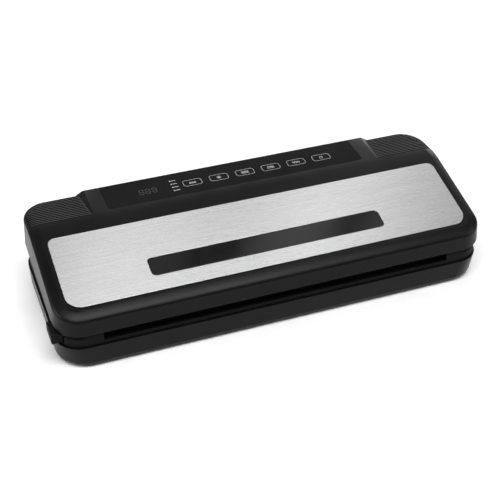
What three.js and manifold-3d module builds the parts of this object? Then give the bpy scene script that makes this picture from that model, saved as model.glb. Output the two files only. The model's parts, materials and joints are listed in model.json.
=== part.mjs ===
// Countertop vacuum sealer for bags up to 300 mm wide: a base with a bag slot, a vacuum trough and a
// heated sealing bar, and a full-width lid, hinged along the back, with a steel plate, a viewing
// window and a control panel. Millimetres, +X right, +Y back, +Z up.
// The origin is on the worktop, under the middle of the whole box.
import * as THREE from "three";
import { mergeVertices } from "three/addons/utils/BufferGeometryUtils.js";
import Module from "manifold-3d";

const wasm = await Module();
wasm.setup();

// ---------------------------------------------------------------- driving dimensions
const GAP = 0.3; // between pieces that touch
const WALL = 2.6; // moulded walls

// the outline, seen from above
const HALF_LENGTH = 198.9;
const FRONT_Y = -76.1;
const REAR_Y = 75;
const CORNER_R = 24;
const BOTTOM_CORNER_R = 28; // the lower shell's corners open out to this on the way down

// the side view
const BOTTOM_Z = 1.6; // underside of the base, above the feet
const SPLIT_Z = 22.7; // where the lower shell meets the upper deck
const DRAFT = 0.5; // the lower shell leans in by this much on its way down
const BOTTOM_ROUND = 4;
const SEAM_FRONT_Z = 36.4; // bottom edge of the lid, at the front
const SEAM_SLOPE = 0.069; // the seam rises this much per mm towards the back
const SEAM_GAP = 0.8;
const PLATE_Y = -23.4; // centre of the steel plate
const PLATE_Z = 64.9;
const PLATE_TILT = THREE.MathUtils.degToRad(12);
const BLEND_Y = 19.6; // the sloping top starts to level off here
const RIDGE_Y = 35.2; // and is level here, where the ribbed wings start to fall
const WING_REAR_Z = 73;
const FLARE = 1.3; // the lid's side is this much wider at its bottom edge
// The lid's top edge: an elliptical arc that meets the side upright and the top at a soft crease.
const SHOULDER = { width: 9, drop: 4.6, rearWidth: 3, rearDrop: 2, arc: THREE.MathUtils.degToRad(45) };
const BAND_INSET = 2; // the deck's side band stands back from the lid's bottom edge
const BAND_LEAN = { inset: 2.2, drop: 4.6 }; // and leans in below the seam, which leaves a dark gap

// steel plate and window, in the plane of the sloping top
const PLATE = { halfX: 185.3, halfY: 39.7, thick: 0.6, frontR: 14, rearR: 7 };
const WINDOW = { halfX: 108.5, y0: -23.6, y1: -3.8, r: 4, thick: 2.4 };

// control panel, level
const BLOCK = { halfX: 138, endSlope: 1.7, rearY: 74.5, topRearY: 73.5, round: 1.2 };
const PANEL = { halfX: 123.8, y0: 37.7, y1: 72.8, r: 3, thick: 1.4 };
const KEYS = { count: 6, firstX: -40.6, pitch: 25.7, y: 53.9, sizeX: 18.5, sizeY: 10, r: 3, thick: 2.2 };
const LIGHTS = { count: 4, x: -57.6, y: 54.4, pitch: 5.2, sizeX: 6.5, sizeY: 1.8, thick: 2.2 };
const DISPLAY = { x: -83.2, y: 53.5, sizeX: 22.7, sizeY: 12.3, r: 1, thick: 2.2 };
const CONTROL_BOARD = { halfX: 108, y0: 44, y1: 66, z: 64.4, thick: 1.6 };

// sealing deck, in the plane of the seam: v runs back from the front edge, w is square to the seam
const SLOT = { halfX: 160, endWall: 2.6, floor: -9.7, flatEnd: 7, rampEnd: 17.5, rampTop: -1.4 };
const DECK_TOP = -1.2;
const DECK_THICK = 3;
const HEATER = { halfX: 157, v0: 19, v1: 27, bottom: -8, top: -1.5 };
const GASKET = { halfX: 164, v0: 28.2, v1: 69.8, width: 3.6, r: 9 };
const TROUGH = { halfX: 152, v0: 34, v1: 63.6, r: 6, bottom: -14, wall: 1.6, flange: 7.4 };
const LINER = { inset: 4.5, w0: 3, w1: 7 };

// lid catches: one release button on the left pushes both catch slides to the right
const BUTTON = { x0: -202.5, x1: -192.6, y0: -65, y1: -45, z0: 25.5, z1: 35.5, grooveZ: 28.6 };
const SLIDE = { y0: -61.5, y1: -47.5, z0: 28.6, z1: 30.6, tab: 2, tabLow: 18.8 };
const HOOK = { thick: 2.5, reach: 4, y0: -58.5, y1: -50.5, lip: 2.4 };
const LATCH_TRAVEL = 3;
const CATCHES = [
  { side: "left", x0: -192.2, x1: -174, tabX: -176, hookX: -186.5 },
  { side: "right", x0: 172, x1: 188, tabX: 172, hookX: 180 },
];
const LINK = { r: 1.5, z: 20.5 }; // joins the two slides, below the deck

// hinges
const HINGE_X = 120;
const HINGE_Y = 72.7;
const HINGE_OPEN = 14; // half width of the openings round each hinge
const BARREL = { r: 3.4, bore: 1.5, halfInner: 6, halfOuter: 13 };
const PIN_R = 1.2;

// ---------------------------------------------------------------- colours
const finish = (color, roughness, metalness) =>
  new THREE.MeshStandardMaterial({ color, roughness, metalness });
const BLACK = finish(0x1b1c1e, 0.5, 0);
const GLOSS = finish(0x0c0d0f, 0.12, 0);
const STEEL = finish(0xc4c5c6, 0.34, 1);
const RUBBER = finish(0x141414, 0.9, 0);
const SILICONE = finish(0x8d8f92, 0.75, 0);
const METAL = finish(0xa9abae, 0.35, 1);
const TAPE = finish(0xa58b62, 0.6, 0);
const RESIN = finish(0x3a3128, 0.8, 0);
const BOARD = finish(0x1e5a34, 0.6, 0);
const LABEL = finish(0xc9cbcd, 0.5, 0);

// ---------------------------------------------------------------- solids
function solidOf(geometry) {
  const flat = geometry.index ? geometry.toNonIndexed() : geometry;
  const bare = new THREE.BufferGeometry().setAttribute("position", flat.getAttribute("position"));
  const merged = mergeVertices(bare, 1e-4);
  return new wasm.Manifold(
    new wasm.Mesh({
      numProp: 3,
      vertProperties: merged.attributes.position.array,
      triVerts: new Uint32Array(merged.index.array),
    }),
  );
}

function geometryOf(solid) {
  const { vertProperties, triVerts } = solid.getMesh();
  return new THREE.BufferGeometry()
    .setAttribute("position", new THREE.BufferAttribute(vertProperties, 3))
    .setIndex(new THREE.BufferAttribute(triVerts, 1));
}

const cut = (geometry, ...tools) =>
  geometryOf(tools.reduce((left, tool) => left.subtract(solidOf(tool)), solidOf(geometry)));
const join = (geometry, ...more) =>
  geometryOf(more.reduce((sum, next) => sum.add(solidOf(next)), solidOf(geometry)));

function box(x0, x1, y0, y1, z0, z1) {
  return new THREE.BoxGeometry(x1 - x0, y1 - y0, z1 - z0).translate(
    (x0 + x1) / 2,
    (y0 + y1) / 2,
    (z0 + z1) / 2,
  );
}

function roundedRect(x0, x1, y0, y1, frontR, rearR = frontR) {
  const shape = new THREE.Shape();
  shape.absarc(x1 - frontR, y0 + frontR, frontR, -Math.PI / 2, 0);
  shape.absarc(x1 - rearR, y1 - rearR, rearR, 0, Math.PI / 2);
  shape.absarc(x0 + rearR, y1 - rearR, rearR, Math.PI / 2, Math.PI);
  shape.absarc(x0 + frontR, y0 + frontR, frontR, Math.PI, Math.PI * 1.5);
  return shape;
}

function prism(shape, z0, z1, curveSegments = 5) {
  const options = { depth: z1 - z0, bevelEnabled: false, curveSegments };
  return new THREE.ExtrudeGeometry(shape, options).translate(0, 0, z0);
}

// a straight bar along X with the given section, a list of [y, z]
function barAlongX(section, x0, x1) {
  const shape = new THREE.Shape(section.map(([y, z]) => new THREE.Vector2(y, z)));
  return new THREE.ExtrudeGeometry(shape, { depth: x1 - x0, bevelEnabled: false })
    .rotateX(Math.PI / 2)
    .rotateZ(Math.PI / 2)
    .translate(x0, 0, 0);
}

const rod = (r, length, sides = 16) => new THREE.CylinderGeometry(r, r, length, sides);
const rodX = (r, x0, x1, y, z, sides) =>
  rod(r, x1 - x0, sides).rotateZ(Math.PI / 2).translate((x0 + x1) / 2, y, z);
const rodZ = (r, x, y, z0, z1, sides) =>
  rod(r, z1 - z0, sides).rotateX(Math.PI / 2).translate(x, y, (z0 + z1) / 2);

// a frame of even width, seen from above
function frame(halfX, v0, v1, width, r, w0, w1) {
  const shape = roundedRect(-halfX, halfX, v0, v1, r);
  shape.holes.push(roundedRect(-halfX + width, halfX - width, v0 + width, v1 - width, r - width));
  return prism(shape, w0, w1);
}

// ---------------------------------------------------------------- the body's outline and heights
const CORNER_STEPS = 6;
const SIDE_LEVELS = [BLEND_Y, (BLEND_Y + RIDGE_Y) / 2, RIDGE_Y]; // points along the straight sides

// The right half of the outline, front to back, set in by the given distances.
function halfOutline(inset, rearInset, cornerR) {
  const half = HALF_LENGTH - inset;
  const across = cornerR - inset;
  const corner = (centreY, along, from) =>
    Array.from({ length: CORNER_STEPS + 1 }, (_, i) => {
      const angle = from + (Math.PI / 2) * (i / CORNER_STEPS);
      return [half - across + across * Math.cos(angle), centreY + along * Math.sin(angle)];
    });
  return [
    ...corner(FRONT_Y + cornerR, across, -Math.PI / 2),
    ...SIDE_LEVELS.map((y) => [half, y]),
    ...corner(REAR_Y - cornerR, cornerR - rearInset, 0),
  ];
}

// One closed ring round the body: right side front to back, then left side back to front.
function ring(inset, heightAt, rearInset = inset, cornerR = CORNER_R) {
  const right = halfOutline(inset, rearInset, cornerR).map(([x, y]) => [x, y, heightAt(y)]);
  const left = right.map(([x, y, z]) => [-x, y, z]).reverse();
  return [...right, ...left];
}

// A closed solid through a stack of rings, with flat strips across its bottom and its top.
function loft(rings) {
  const count = rings[0].length;
  const index = [];
  const quad = (a, b, c, d) => index.push(a, b, c, a, c, d);
  for (let step = 0; step + 1 < rings.length; step++) {
    const low = step * count;
    for (let i = 0; i < count; i++) {
      const next = (i + 1) % count;
      quad(low + i, low + next, low + count + next, low + count + i);
    }
  }
  const top = (rings.length - 1) * count;
  for (let i = 0; i + 1 < count / 2; i++) {
    const across = count - 1 - i;
    quad(top + i, top + i + 1, top + across - 1, top + across);
    quad(i, across, across - 1, i + 1);
  }
  return new THREE.BufferGeometry()
    .setAttribute("position", new THREE.Float32BufferAttribute(rings.flat(2), 3))
    .setIndex(index);
}

const flat = (z) => () => z;
const seamZ = (y) => SEAM_FRONT_Z + SEAM_SLOPE * (y - FRONT_Y);
const BLEND_SLOPE = Math.tan(PLATE_TILT);
const BLEND_Z = PLATE_Z + (BLEND_Y - PLATE_Y) * BLEND_SLOPE;
const RIDGE_Z = BLEND_Z + (BLEND_SLOPE * (RIDGE_Y - BLEND_Y)) / 2;

// Height of the lid's top: a slope, a short round onto the level, then the falling wings.
function topZ(y) {
  if (y <= BLEND_Y) return PLATE_Z + (y - PLATE_Y) * BLEND_SLOPE;
  if (y >= RIDGE_Y) return RIDGE_Z + ((WING_REAR_Z - RIDGE_Z) * (y - RIDGE_Y)) / (REAR_Y - RIDGE_Y);
  const left = (RIDGE_Y - y) / (RIDGE_Y - BLEND_Y);
  return RIDGE_Z - ((RIDGE_Z - BLEND_Z) * left * left);
}

// How much of the shoulder's drop is left towards the back, where its rounding is tighter.
function dropShare(y) {
  const back = THREE.MathUtils.smoothstep(y, REAR_Y - CORNER_R, REAR_Y);
  return THREE.MathUtils.lerp(1, SHOULDER.rearDrop / SHOULDER.drop, back);
}

// The lid's solid shape, set in by the wall thickness for its hollow.
function lidSolid(wall, steps, bottomAt) {
  const rings = [ring(wall, bottomAt)];
  for (let i = 0; i <= steps; i++) {
    const angle = SHOULDER.arc * (i / steps);
    const across = (1 - Math.cos(angle)) / (1 - Math.cos(SHOULDER.arc));
    const drop = SHOULDER.drop * (1 - Math.sin(angle) / Math.sin(SHOULDER.arc));
    const inset = FLARE + wall + SHOULDER.width * across;
    const rearInset = FLARE + wall + SHOULDER.rearWidth * across;
    rings.push(ring(inset, (y) => topZ(y) - drop * dropShare(y) - wall, rearInset));
  }
  return loft(rings);
}

// ---------------------------------------------------------------- planes
// The seam plane, with its origin at the middle of the front edge, and the plate's plane.
const seamPlane = new THREE.Group();
seamPlane.position.set(0, FRONT_Y, SEAM_FRONT_Z);
seamPlane.rotation.x = Math.atan(SEAM_SLOPE);
seamPlane.updateMatrix();
const platePlane = new THREE.Group();
platePlane.position.set(0, PLATE_Y, PLATE_Z);
platePlane.rotation.x = PLATE_TILT;
platePlane.updateMatrix();
const onSeam = (geometry) => geometry.applyMatrix4(seamPlane.matrix);
const onPlate = (geometry) => geometry.applyMatrix4(platePlane.matrix);

const part = new THREE.Group();
part.add(seamPlane, platePlane);

function addPiece(name, geometry, material, parent = part) {
  const mesh = new THREE.Mesh(geometry, material);
  mesh.name = name;
  parent.add(mesh);
}

// Both sides of the body, as [name ending, sign of X].
const SIDES = [
  ["left", -1],
  ["right", 1],
];

// ---------------------------------------------------------------- lower shell, feet and screws
const FOOT = { x: 168, y: 50, r: 8 };
const SCREW = { x: 184, frontY: -26, rearY: 46, headR: 3, shankR: 1.4, length: 12 };
const INLET = { x: 140, halfX: 11, z0: 7, z1: 20, r: 3.5, depth: 15, socketDepth: 9 };
const FLOOR_Z = BOTTOM_Z + WALL;
const corners = (halfX, frontY, rearY) => [
  ["front_left", -halfX, frontY],
  ["front_right", halfX, frontY],
  ["rear_left", -halfX, rearY],
  ["rear_right", halfX, rearY],
];
const SCREW_PLACES = corners(SCREW.x, SCREW.frontY, SCREW.rearY);

// an outline drawn in X and Z, given a depth along Y
const upright = (shape, y0, y1) => prism(shape, -y1, -y0).rotateX(Math.PI / 2);
const inletShape = (grow) =>
  roundedRect(INLET.x - INLET.halfX - grow, INLET.x + INLET.halfX + grow, INLET.z0 - grow, INLET.z1 + grow,
    INLET.r);

function lowerShell() {
  const topInset = 0.3;
  const low = topInset + DRAFT;
  const rings = [];
  for (const angle of [90, 60, 30, 0].map(THREE.MathUtils.degToRad)) {
    const inset = low + BOTTOM_ROUND * (1 - Math.cos(angle));
    const height = flat(BOTTOM_Z + BOTTOM_ROUND * (1 - Math.sin(angle)));
    rings.push(ring(inset, height, inset, BOTTOM_CORNER_R));
  }
  rings.push(ring(topInset, flat(SPLIT_Z)));
  const hollow = loft([
    ring(low + WALL + 1.5, flat(FLOOR_Z), low + WALL + 1.5, BOTTOM_CORNER_R),
    ring(low + WALL, flat(FLOOR_Z + 3), low + WALL, BOTTOM_CORNER_R),
    ring(topInset + WALL, flat(SPLIT_Z + 1)),
  ]);
  const inletHole = upright(inletShape(GAP), REAR_Y - 6, REAR_Y + 5);
  const screwHoles = SCREW_PLACES.flatMap(([, x, y]) => [
    rodZ(SCREW.shankR + GAP, x, y, 0, FLOOR_Z + 1, 12),
    rodZ(SCREW.headR + GAP, x, y, 0, BOTTOM_Z + 1.4, 12),
  ]);
  return cut(loft(rings), hollow, inletHole, ...screwHoles);
}

function foot(x, y) {
  const profile = [
    [0, 0],
    [FOOT.r - 1, 0],
    [FOOT.r, BOTTOM_Z - GAP],
    [0, BOTTOM_Z - GAP],
  ].map(([r, z]) => new THREE.Vector2(r, z));
  return new THREE.LatheGeometry(profile, 20).rotateX(Math.PI / 2).translate(x, y, 0);
}

function screw(x, y) {
  const head = rodZ(SCREW.headR, x, y, BOTTOM_Z + 0.1, BOTTOM_Z + 1.1, 12);
  const shank = rodZ(SCREW.shankR, x, y, BOTTOM_Z + 0.6, BOTTOM_Z + SCREW.length, 8);
  const drive = (long, across) => box(x - long, x + long, y - across, y + across, 0, BOTTOM_Z + 0.7);
  return cut(join(head, shank), drive(1.6, 0.35), drive(0.35, 1.6));
}

function powerInlet() {
  const face = REAR_Y - 0.6;
  const body = upright(inletShape(0), face - INLET.depth, face);
  const socket = upright(inletShape(-2.6), face - INLET.socketDepth, face + 1);
  const contact = (dx) => rod(1.1, 8, 8).translate(INLET.x + dx, face - 6, (INLET.z0 + INLET.z1) / 2);
  return join(cut(body, socket), contact(-4), contact(4));
}

addPiece("base_lower_shell", lowerShell(), BLACK);
for (const [place, x, y] of corners(FOOT.x, -FOOT.y, FOOT.y)) {
  addPiece(`foot_${place}`, foot(x, y), RUBBER);
}
for (const [place, x, y] of SCREW_PLACES) addPiece(`case_screw_${place}`, screw(x, y), METAL);
addPiece("power_inlet", powerInlet(), BLACK);

// ---------------------------------------------------------------- upper deck
const SWITCH = { x: 168, y: -30, plungerR: 1.5 };
const HINGE_Z = seamZ(HINGE_Y) - SEAM_GAP / 2;

const PORT = { x: 122, v: 48, r: 3.5, bore: 1.8 };

const GUIDE_END = 189; // the ribs that guide the catch slides end here

function upperDeck() {
  const body = loft([
    ring(BAND_INSET, flat(SPLIT_Z + GAP)),
    ring(BAND_INSET, (y) => seamZ(y) - SEAM_GAP - BAND_LEAN.drop),
    ring(BAND_INSET + BAND_LEAN.inset, (y) => seamZ(y) - SEAM_GAP),
  ]);
  const under = DECK_TOP - DECK_THICK;
  const rearV = REAR_Y - FRONT_Y - BAND_INSET - WALL;
  const inside = loft([
    ring(BAND_INSET + WALL, flat(0)),
    ring(BAND_INSET + WALL, (y) => seamZ(y)),
  ]);
  const belowDeck = onSeam(box(-HALF_LENGTH, HALF_LENGTH, 0, 160, -60, under));
  const sill = SLOT.halfX + SLOT.endWall;
  const thickFront = onSeam(box(-sill, sill, -9, GASKET.v0 + 3, HEATER.bottom - 4.6, 9));
  const hollow = geometryOf(solidOf(inside).intersect(solidOf(belowDeck)).subtract(solidOf(thickFront)));
  const slot = [
    [-5, SLOT.floor],
    [SLOT.flatEnd, SLOT.floor],
    [SLOT.rampEnd, SLOT.rampTop],
    [SLOT.rampEnd, 5],
    [-5, 5],
  ];
  const topShape = roundedRect(-HALF_LENGTH + 4, HALF_LENGTH - 4, 2.6, rearV, CORNER_R - 4);
  const { halfX, v0: heat0, v1: heat1, bottom } = HEATER;
  const cuts = [
    hollow,
    onSeam(barAlongX(slot, -SLOT.halfX, SLOT.halfX)),
    onSeam(prism(topShape, DECK_TOP, 9)),
    onSeam(box(-halfX - GAP, halfX + GAP, heat0 - GAP, heat1 + GAP, bottom - GAP, 5)),
    onSeam(frame(GASKET.halfX + GAP, GASKET.v0 - GAP, GASKET.v1 + GAP, GASKET.width + 2 * GAP,
      GASKET.r + GAP, DECK_TOP - 2, 5)),
    onSeam(prism(roundedRect(-TROUGH.halfX, TROUGH.halfX, TROUGH.v0, TROUGH.v1, TROUGH.r), -30, 5)),
    rodZ(SWITCH.plungerR + GAP, SWITCH.x, SWITCH.y, 20, 60, 10),
    box(BUTTON.x0, BUTTON.x1 + LATCH_TRAVEL + 1, BUTTON.y0 - 0.5, BUTTON.y1 + 0.5, BUTTON.z0 - 0.5, 60),
  ];
  for (const { hookX } of CATCHES) {
    cuts.push(box(hookX - 2, hookX + HOOK.reach + 1, HOOK.y0 - 2.5, HOOK.y1 + 1, BUTTON.z0, 60));
  }
  for (const [, sign] of SIDES) {
    const x = sign * HINGE_X;
    cuts.push(box(x - HINGE_OPEN, x + HINGE_OPEN, HINGE_Y - 5.9, REAR_Y + 5, HINGE_Z - 5.4, 60));
  }
  const bosses = SCREW_PLACES.map(([, x, y]) => rodZ(4, x, y, FLOOR_Z + GAP, seamZ(y) - SEAM_GAP - 2, 12));
  const guides = CATCHES.flatMap(({ x0, x1 }) => {
    const [from, to] = [Math.max(x0, -GUIDE_END), Math.min(x1 + LATCH_TRAVEL, GUIDE_END)];
    return [
      box(from, to, SLIDE.y0 - 2.4, SLIDE.y0 - 0.4, SLIDE.z0, seamZ(SLIDE.y0) + DECK_TOP - 1),
      box(from, to, SLIDE.y1 + 0.4, SLIDE.y1 + 2.4, SLIDE.z0, seamZ(SLIDE.y1) + DECK_TOP - 1),
    ];
  });
  const pilots = SCREW_PLACES.map(([, x, y]) => rodZ(SCREW.shankR + GAP, x, y, 0, FLOOR_Z + 13, 10));
  return cut(join(cut(body, ...cuts), ...bosses, ...guides), ...pilots);
}

function vacuumTrough() {
  const { halfX, v0, v1, r, bottom, wall, flange } = TROUGH;
  const gap = 0.4;
  const shape = (grow) => roundedRect(-halfX - grow, halfX + grow, v0 - grow, v1 + grow, r + grow);
  const rim = prism(roundedRect(-halfX - flange, halfX + flange, v0 - 1.6, v1 + 1.8, r), DECK_TOP + GAP,
    DECK_TOP + GAP + 0.9);
  const pan = prism(shape(-gap), bottom, DECK_TOP + 1);
  const hollow = prism(shape(-gap - wall), bottom + wall, 5);
  return cut(join(rim, pan), hollow, rodZ(PORT.r + GAP, PORT.x, PORT.v, -30, 5, 12));
}

function vacuumPort() {
  const low = TROUGH.bottom - 6;
  const high = TROUGH.bottom + TROUGH.wall + 3;
  const flangeZ = TROUGH.bottom - GAP;
  const profile = [
    [PORT.bore, low],
    [PORT.bore + 1.1, low],
    [PORT.bore + 1.1, flangeZ - 1.2],
    [PORT.r + 2, flangeZ - 1.2],
    [PORT.r + 2, flangeZ],
    [PORT.r, flangeZ],
    [PORT.r, high],
    [PORT.bore, high],
    [PORT.bore, low],
  ].map(([r, z]) => new THREE.Vector2(r, z));
  return new THREE.LatheGeometry(profile, 14).rotateX(Math.PI / 2).translate(PORT.x, PORT.v, 0);
}

addPiece("base_upper_deck", upperDeck(), BLACK);
addPiece("vacuum_trough", vacuumTrough(), BLACK, seamPlane);
addPiece("vacuum_port", vacuumPort(), BLACK, seamPlane);
addPiece(
  "lower_gasket",
  frame(GASKET.halfX, GASKET.v0, GASKET.v1, GASKET.width, GASKET.r, DECK_TOP - 1.7, 0.7),
  RUBBER,
  seamPlane,
);
const { halfX: heatX, v0: heatFront, v1: heatBack, bottom: heatLow, top: heatTop } = HEATER;
addPiece("sealing_bar", box(-heatX, heatX, heatFront, heatBack, heatLow, heatTop), RESIN, seamPlane);
addPiece(
  "heating_strip",
  box(-heatX + 3, heatX - 3, heatFront + 2.5, heatBack - 2.5, heatTop + GAP, heatTop + GAP + 0.2),
  METAL,
  seamPlane,
);
addPiece(
  "heat_proof_tape",
  box(-heatX + 0.5, heatX - 0.5, heatFront - 0.2, heatBack + 0.2, heatTop + 0.8, heatTop + 1),
  TAPE,
  seamPlane,
);

// ---------------------------------------------------------------- inside the base
const PUMP = { x0: 30, x1: 78, y: 28, z: 19, r: 13 };
function pumpMotor() {
  const can = rodX(PUMP.r, PUMP.x0, PUMP.x1, PUMP.y, PUMP.z, 20);
  return join(can, rodX(4, PUMP.x0 - 3, PUMP.x0 + 1, PUMP.y, PUMP.z, 12));
}
function pumpHead() {
  const x0 = PUMP.x1 + GAP;
  const head = box(x0, x0 + 26, PUMP.y - 14, PUMP.y + 14, 5, 33);
  return join(head, rodX(2.6, x0 + 25, x0 + 34, PUMP.y, PUMP.z + 6, 10));
}
// One bend of air hose, from the port down and back to the pump's nipple.
function airHose() {
  const start = new THREE.Vector3(PORT.x, PORT.v, TROUGH.bottom - 8.6).applyMatrix4(seamPlane.matrix);
  const end = new THREE.Vector3(PUMP.x1 + GAP + 35, PUMP.y, PUMP.z + 6);
  const path = new THREE.CatmullRomCurve3([
    start,
    start.clone().add(new THREE.Vector3(1, 0.4, -6)),
    new THREE.Vector3(start.x + 8, start.y + 14, 12),
    new THREE.Vector3(end.x + 14, end.y - 14, 18),
    new THREE.Vector3(end.x + 12, end.y, end.z),
    end,
  ]);
  const section = new THREE.Shape().absarc(0, 0, 3, 0, Math.PI * 2);
  const options = { extrudePath: path, steps: 16, bevelEnabled: false, curveSegments: 8 };
  return new THREE.ExtrudeGeometry(section, options);
}
// The spring that holds the release button out, between the slot's end wall and the left slide.
class Helix extends THREE.Curve {
  getPoint(t, target = new THREE.Vector3()) {
    const [r, turns, clear] = [2.4, 4, GAP + 0.6];
    const [from, to] = [-SLOT.halfX - SLOT.endWall - clear, CATCHES[0].x1 + clear];
    const angle = turns * 2 * Math.PI * t;
    const y = (SLIDE.y0 + SLIDE.y1) / 2 + r * Math.cos(angle);
    return target.set(from + (to - from) * t, y, (SLIDE.z0 + SLIDE.z1) / 2 + r * Math.sin(angle));
  }
}
function latchSpring() {
  const section = new THREE.Shape().absarc(0, 0, 0.35, 0, Math.PI * 2);
  const options = { extrudePath: new Helix(), steps: 28, bevelEnabled: false, curveSegments: 4 };
  return new THREE.ExtrudeGeometry(section, options);
}

addPiece("pump_motor", pumpMotor(), METAL);
addPiece("pump_head", pumpHead(), BLACK);
addPiece("air_hose", airHose(), SILICONE);
addPiece("release_valve", join(box(0, 20, 46, 62, 5, 19), rodZ(2.4, 10, 54, 18, 26, 10)), METAL);
addPiece("transformer", join(box(-112, -64, 12, 52, 5, 31), box(-104, -72, 6, 58, 10, 26)), METAL);
addPiece("power_board", box(-52, 10, 6, 42, 10, 11.6), BOARD);
addPiece("pressure_sensor", join(box(-40, -26, 14, 26, 12, 18), rodZ(2.2, -33, 20, 17, 23, 10)), BLACK);

const SWITCH_TOP = seamZ(SWITCH.y) + DECK_TOP - DECK_THICK - 1;
addPiece(
  "lid_switch",
  box(SWITCH.x - 10, SWITCH.x + 10, SWITCH.y - 3.5, SWITCH.y + 3.5, SWITCH_TOP - 10, SWITCH_TOP),
  BLACK,
);
addPiece(
  "lid_switch_plunger",
  rodZ(SWITCH.plungerR, SWITCH.x, SWITCH.y, SWITCH_TOP + GAP + 2, seamZ(SWITCH.y) + 0.4, 10),
  LABEL,
);

// ---------------------------------------------------------------- latches
function catchSlide({ x0, x1, tabX, hookX }) {
  const { y0, y1, z0, z1, tab, tabLow } = SLIDE;
  const window = box(hookX - 3.5, hookX + HOOK.reach + 0.4, HOOK.y0 - 1.5, HOOK.y1 + 1, z0 - 1, z1 + 1);
  return join(cut(box(x0, x1, y0, y1, z0, z1), window), box(tabX, tabX + tab, y0 + 4, y1 - 4, tabLow, z1));
}
function releaseButton() {
  const { x0, x1, y0, y1, z0, z1, grooveZ } = BUTTON;
  const cap = prism(roundedRect(y0, y1, z0, z1, 1.5), x0 + 0.8, x1, 4);
  const face = prism(roundedRect(y0 + 0.8, y1 - 0.8, z0 + 0.8, z1 - 0.8, 1), x0, x0 + 1, 4);
  const groove = prism(roundedRect(y0 - 1, y1 + 1, grooveZ, grooveZ + 0.8, 0.1), x0 - 1, x0 + 0.5, 1);
  return cut(join(cap, face), groove).rotateX(Math.PI / 2).rotateZ(Math.PI / 2);
}
function lidHook({ hookX }) {
  const { thick, reach, y0, y1, lip } = HOOK;
  const lipTop = SLIDE.z0 - 1.2;
  const top = seamZ(y0 - 1) + LINER.w0 - GAP;
  const blade = box(hookX, hookX + thick, y0, y1, lipTop - lip, top);
  const nose = box(hookX + thick - 0.5, hookX + reach, y0, y1, lipTop - lip, lipTop);
  const flange = box(hookX - 3, hookX + thick + 3, y0 - 1, y1 + 1, top - 1.6, top);
  return join(blade, nose, flange);
}
addPiece("release_button", releaseButton(), RUBBER);
addPiece("latch_spring", latchSpring(), METAL);
for (const place of CATCHES) {
  addPiece(`latch_slide_${place.side}`, catchSlide(place), METAL);
  addPiece(`lid_hook_${place.side}`, lidHook(place), BLACK);
}
const [linkLeft, linkRight] = [CATCHES[0].tabX + SLIDE.tab + GAP, CATCHES[1].tabX - GAP];
addPiece("latch_link", rodX(LINK.r, linkLeft, linkRight, (SLIDE.y0 + SLIDE.y1) / 2, LINK.z, 10), METAL);

// ---------------------------------------------------------------- hinges
function baseKnuckle(x) {
  const { r, bore, halfInner } = BARREL;
  const half = halfInner - GAP;
  const barrel = rodX(r, x - half, x + half, HINGE_Y, HINGE_Z, 16);
  const neck = box(x - half, x + half, HINGE_Y - 5.4, HINGE_Y, HINGE_Z - r, HINGE_Z - 1.2);
  const leg = box(x - 11, x + 11, HINGE_Y - 5.4, HINGE_Y - 3.4, HINGE_Z - 16, HINGE_Z - 1.2);
  return cut(join(barrel, neck, leg), rodX(bore, x - 20, x + 20, HINGE_Y, HINGE_Z, 12));
}
function lidKnuckle(x) {
  const { r, bore, halfInner, halfOuter } = BARREL;
  const plate = box(x - halfOuter, x + halfOuter, HINGE_Y - 5.2, HINGE_Y - 3.7, HINGE_Z + 4.2, HINGE_Z + 13);
  const ends = [
    [x - halfOuter, x - halfInner],
    [x + halfInner, x + halfOuter],
  ].flatMap(([x0, x1]) => [
    rodX(r, x0, x1, HINGE_Y, HINGE_Z, 16),
    box(x0, x1, HINGE_Y - 5.2, HINGE_Y - 1.9, HINGE_Z + 1, HINGE_Z + 4.8),
  ]);
  return cut(join(plate, ...ends), rodX(bore, x - 20, x + 20, HINGE_Y, HINGE_Z, 12));
}
for (const [side, sign] of SIDES) {
  const x = sign * HINGE_X;
  const half = BARREL.halfOuter - 0.5;
  addPiece(`hinge_bracket_base_${side}`, baseKnuckle(x), METAL);
  addPiece(`hinge_bracket_lid_${side}`, lidKnuckle(x), METAL);
  addPiece(`hinge_pin_${side}`, rodX(PIN_R, x - half, x + half, HINGE_Y, HINGE_Z, 10), METAL);
}

// ---------------------------------------------------------------- lid
const windowShape = (grow) =>
  roundedRect(-WINDOW.halfX - grow, WINDOW.halfX + grow, WINDOW.y0 - grow, WINDOW.y1 + grow, WINDOW.r + grow);
const plateShape = (grow) =>
  roundedRect(-PLATE.halfX - grow, PLATE.halfX + grow, -PLATE.halfY - grow, PLATE.halfY + grow,
    PLATE.frontR + grow, PLATE.rearR + grow);
const panelShape = (grow) =>
  roundedRect(-PANEL.halfX - grow, PANEL.halfX + grow, PANEL.y0 - grow, PANEL.y1 + grow, PANEL.r);
const rowOf = ({ count, firstX, pitch }) => Array.from({ length: count }, (_, i) => firstX + i * pitch);
const around = (x, y, sizeX, sizeY, r) =>
  roundedRect(x - sizeX / 2, x + sizeX / 2, y - sizeY / 2, y + sizeY / 2, r);

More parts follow.
